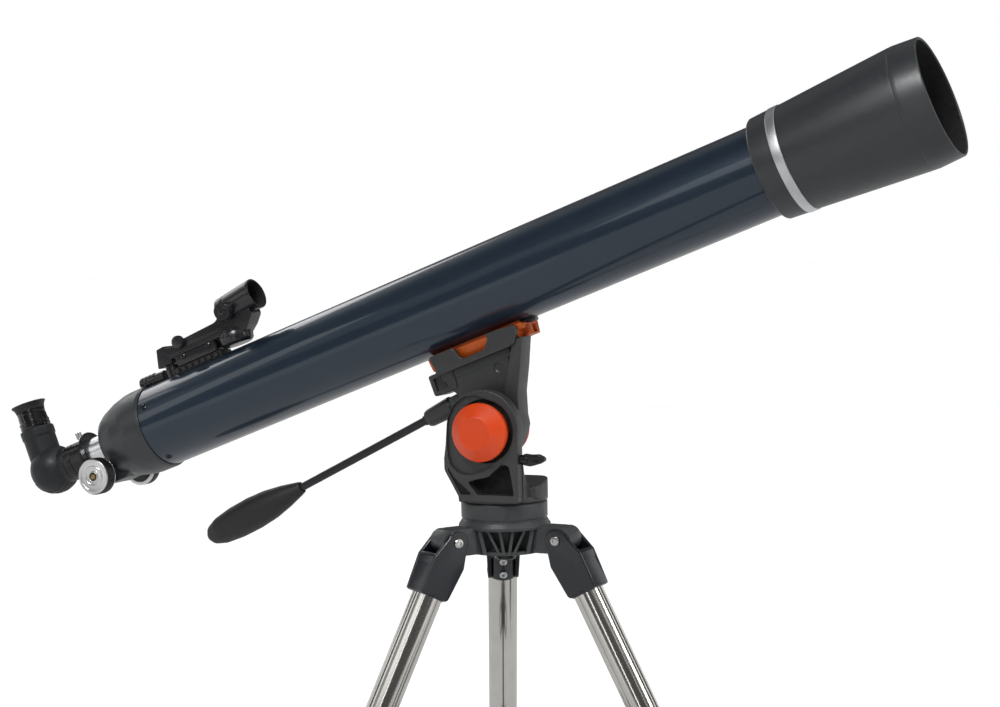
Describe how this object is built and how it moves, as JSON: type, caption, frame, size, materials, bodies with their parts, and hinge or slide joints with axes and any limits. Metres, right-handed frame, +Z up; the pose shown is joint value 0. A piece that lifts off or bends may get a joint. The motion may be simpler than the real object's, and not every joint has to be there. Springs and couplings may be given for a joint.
{
  "type": "telescope on tripod",
  "caption": "Refracting telescope on a single-arm altazimuth head with pan handle, star diagonal, dot finder and folding tripod with steel legs.",
  "frame": {"origin": "on the floor, under the azimuth axis at the middle of the three feet", "axes": "+Z up, +Y towards the rear leg, +X to the right as seen from the front; the telescope points to +X, a little to -Y, and up"},
  "size_m": [1.0071, 0.678, 1.1337],
  "materials": {
    "hub_plastic": "fine moulded grain",
    "screw_steel": "bright zinc plated",
    "leg_fitting": "glossy moulded",
    "leg_steel": "polished stainless",
    "inner_leg_steel": "polished stainless",
    "lock_plastic": "moulded",
    "brace_plastic": "moulded",
    "foot_rubber": "matt",
    "head_plastic": "satin moulded",
    "lever_plastic": "glossy moulded",
    "cap_orange": "satin gloss",
    "bar_orange": "anodised satin",
    "axle_steel": "turned",
    "handle_steel": "satin black",
    "grip_rubber": "matt",
    "tube_paint": "glossy metallic lacquer",
    "charcoal_plastic": "satin",
    "ring_aluminium": "satin turned",
    "lens_glass": "polished, coated",
    "chrome_tube": "polished",
    "rack_brass": "machined",
    "collar_black": "satin black",
    "knob_aluminium": "turned in rings",
    "diagonal_plastic": "satin",
    "mirror_coat": "front coated",
    "eyepiece_black": "glossy",
    "eyecup_rubber": "matt",
    "finder_plastic": "satin gloss",
    "finder_rail_grey": "satin"
  },
  "bodies": {
    "tripod": {"tripod_hub": "hub_plastic", "azimuth_bolt": "collar_black", "hinge_pins": "screw_steel"},
    "leg_rear": {"leg_hinge_rear": "leg_fitting", "upper_leg_rear": "leg_steel", "leg_clamp_rear": "leg_fitting", "brace_bracket_rear": "leg_fitting"},
    "inner_leg_rear": {"lower_leg_rear": "inner_leg_steel", "foot_rear": "foot_rubber"},
    "leg_lock_rear": {"leg_lock_knob_rear": "lock_plastic"},
    "leg_left": {"leg_hinge_left": "leg_fitting", "upper_leg_left": "leg_steel", "leg_clamp_left": "leg_fitting", "brace_bracket_left": "leg_fitting"},
    "inner_leg_left": {"lower_leg_left": "inner_leg_steel", "foot_left": "foot_rubber"},
    "leg_lock_left": {"leg_lock_knob_left": "lock_plastic"},
    "leg_right": {"leg_hinge_right": "leg_fitting", "upper_leg_right": "leg_steel", "leg_clamp_right": "leg_fitting", "brace_bracket_right": "leg_fitting"},
    "inner_leg_right": {"lower_leg_right": "inner_leg_steel", "foot_right": "foot_rubber"},
    "leg_lock_right": {"leg_lock_knob_right": "lock_plastic"},
    "brace": {"brace_hub": "brace_plastic", "accessory_tray": "brace_plastic"},
    "brace_link_rear": {"brace_arm_rear": "brace_plastic"},
    "brace_link_left": {"brace_arm_left": "brace_plastic"},
    "brace_link_right": {"brace_arm_right": "brace_plastic"},
    "head": {"azimuth_fork": "head_plastic", "altitude_axle": "axle_steel", "near_cap": "cap_orange"},
    "azimuth_lever": {"azimuth_lock": "lever_plastic"},
    "arm": {"altitude_arm": "head_plastic", "far_cap": "cap_orange", "handle_socket": "head_plastic"},
    "pan_handle": {"handle_rod": "handle_steel", "handle_grip": "grip_rubber"},
    "saddle_screw": {"saddle_knob": "cap_orange"},
    "telescope": {"main_tube": "tube_paint", "lens_cell": "charcoal_plastic", "objective_lens": "lens_glass", "trim_ring": "ring_aluminium", "dew_shield": "charcoal_plastic", "dovetail_bar": "bar_orange", "focuser_housing": "charcoal_plastic", "finder_base": "finder_rail_grey", "finder_body": "finder_plastic"},
    "finder_side": {"finder_side_knob": "finder_plastic"},
    "finder_switch": {"finder_switch_knob": "finder_plastic"},
    "focus_tube": {"drawtube": "chrome_tube", "drawtube_rack": "rack_brass", "visual_back": "collar_black"},
    "tube_screw": {"drawtube_screw": "chrome_tube"},
    "focuser": {"focus_shaft": "axle_steel", "focus_knobs": "knob_aluminium"},
    "diagonal": {"diagonal_body": "diagonal_plastic", "diagonal_mirror": "mirror_coat"},
    "eyepiece": {"eyepiece_body": "eyepiece_black", "eyecup": "eyecup_rubber"}
  },
  "joints": [
    {"name": "leg_rear_fold", "type": "hinge", "parent": "tripod", "child": "leg_rear", "pos_m": [0, 0.068, 0.64038], "axis": [-1, 0, 0], "range_deg": [0, 27.2]},
    {"name": "leg_left_fold", "type": "hinge", "parent": "tripod", "child": "leg_left", "pos_m": [-0.05889, -0.034, 0.64038], "axis": [0.5, -0.866, 0], "range_deg": [0, 27.2]},
    {"name": "leg_right_fold", "type": "hinge", "parent": "tripod", "child": "leg_right", "pos_m": [0.05889, -0.034, 0.64038], "axis": [0.5, 0.866, 0], "range_deg": [0, 27.2]},
    {"name": "leg_rear_extend", "type": "slide", "parent": "leg_rear", "child": "inner_leg_rear", "axis": [0, 0.4571, -0.8894], "range_m": [0, 0.28]},
    {"name": "leg_rear_lock", "type": "hinge", "parent": "leg_rear", "child": "leg_lock_rear", "pos_m": [0, 0.27004, 0.24726], "axis": [0, 0.8894, 0.4571], "range_deg": [0, 360]},
    {"name": "leg_left_extend", "type": "slide", "parent": "leg_left", "child": "inner_leg_left", "axis": [-0.3959, -0.2285, -0.8894], "range_m": [0, 0.28]},
    {"name": "leg_left_lock", "type": "hinge", "parent": "leg_left", "child": "leg_lock_left", "pos_m": [-0.23386, -0.13502, 0.24726], "axis": [-0.7703, -0.4447, 0.4571], "range_deg": [0, 360]},
    {"name": "leg_right_extend", "type": "slide", "parent": "leg_right", "child": "inner_leg_right", "axis": [0.3959, -0.2285, -0.8894], "range_m": [0, 0.28]},
    {"name": "leg_right_lock", "type": "hinge", "parent": "leg_right", "child": "leg_lock_right", "pos_m": [0.23386, -0.13502, 0.24726], "axis": [0.7703, -0.4447, 0.4571], "range_deg": [0, 360]},
    {"name": "brace_lift", "type": "slide", "parent": "tripod", "child": "brace", "axis": [0, 0, 1], "range_m": [0, 0.1201]},
    {"name": "brace_rear_link", "type": "hinge", "parent": "brace", "child": "brace_link_rear", "pos_m": [0, 0.03, 0.36061], "axis": [-1, 0, 0], "range_deg": [0, 76.65]},
    {"name": "brace_left_link", "type": "hinge", "parent": "brace", "child": "brace_link_left", "pos_m": [-0.02598, -0.015, 0.36061], "axis": [0.5, -0.866, 0], "range_deg": [0, 76.65]},
    {"name": "brace_right_link", "type": "hinge", "parent": "brace", "child": "brace_link_right", "pos_m": [0.02598, -0.015, 0.36061], "axis": [0.5, 0.866, 0], "range_deg": [0, 76.65]},
    {"name": "azimuth_turn", "type": "hinge", "parent": "tripod", "child": "head", "pos_m": [0, 0, 0.67838], "axis": [0, 0, 1], "continuous": true},
    {"name": "azimuth_lock_turn", "type": "hinge", "parent": "head", "child": "azimuth_lever", "pos_m": [0.02237, -0.0559, 0.72538], "axis": [0.8945, -0.447, 0], "range_deg": [0, 180]},
    {"name": "altitude_tilt", "type": "hinge", "parent": "head", "child": "arm", "pos_m": [0, 0, 0.75408], "axis": [-0.447, -0.8945, 0], "range_deg": [-40, 35]},
    {"name": "handle_twist", "type": "hinge", "parent": "arm", "child": "pan_handle", "pos_m": [-0.04473, 0.02235, 0.77898], "axis": [-0.8006, 0.4, -0.4462], "range_deg": [0, 180]},
    {"name": "saddle_screw_turn", "type": "hinge", "parent": "arm", "child": "saddle_screw", "pos_m": [0.0127, 0.03278, 0.84456], "axis": [0.447, 0.8945, 0], "range_deg": [0, 360]},
    {"name": "telescope_slide", "type": "slide", "parent": "arm", "child": "telescope", "axis": [0.8379, -0.4187, 0.3502], "range_m": [-0.03, 0.03]},
    {"name": "finder_side_turn", "type": "hinge", "parent": "telescope", "child": "finder_side", "pos_m": [-0.2991, 0.12709, 0.87665], "axis": [0.447, 0.8945, 0], "range_deg": [-180, 180]},
    {"name": "finder_switch_turn", "type": "hinge", "parent": "telescope", "child": "finder_switch", "pos_m": [-0.35378, 0.16112, 0.842], "axis": [0.447, 0.8945, 0], "range_deg": [0, 270]},
    {"name": "focus_turn", "type": "hinge", "parent": "telescope", "child": "focuser", "pos_m": [-0.4308, 0.21526, 0.69295], "axis": [-0.447, -0.8945, 0], "range_deg": [-99, 540]},
    {"name": "drawtube_slide", "type": "slide", "parent": "telescope", "child": "focus_tube", "axis": [-0.8379, 0.4187, -0.3502], "range_m": [-0.0111, 0.0601]},
    {"name": "drawtube_screw_turn", "type": "hinge", "parent": "focus_tube", "child": "tube_screw", "pos_m": [-0.47963, 0.23966, 0.73073], "axis": [-0.3133, 0.1565, 0.9367], "range_deg": [0, 360]},
    {"name": "diagonal_swivel", "type": "hinge", "parent": "focus_tube", "child": "diagonal", "pos_m": [-0.50113, 0.2504, 0.69505], "axis": [0.8379, -0.4187, 0.3502], "continuous": true},
    {"name": "eyepiece_slide", "type": "slide", "parent": "diagonal", "child": "eyepiece", "axis": [-0.3133, 0.1565, 0.9367], "range_m": [0, 0.025]}
  ],
  "couplings": [
    {"joint": "brace_lift", "follows": "leg_rear_fold", "m_per_rad": 0.25269},
    {"joint": "brace_rear_link", "follows": "leg_rear_fold", "ratio": 2.8173},
    {"joint": "brace_left_link", "follows": "leg_rear_fold", "ratio": 2.8173},
    {"joint": "leg_left_fold", "follows": "leg_rear_fold", "ratio": 1},
    {"joint": "brace_right_link", "follows": "leg_rear_fold", "ratio": 2.8173},
    {"joint": "leg_right_fold", "follows": "leg_rear_fold", "ratio": 1},
    {"joint": "drawtube_slide", "follows": "focus_turn", "m_per_rad": 0.006366}
  ]
}
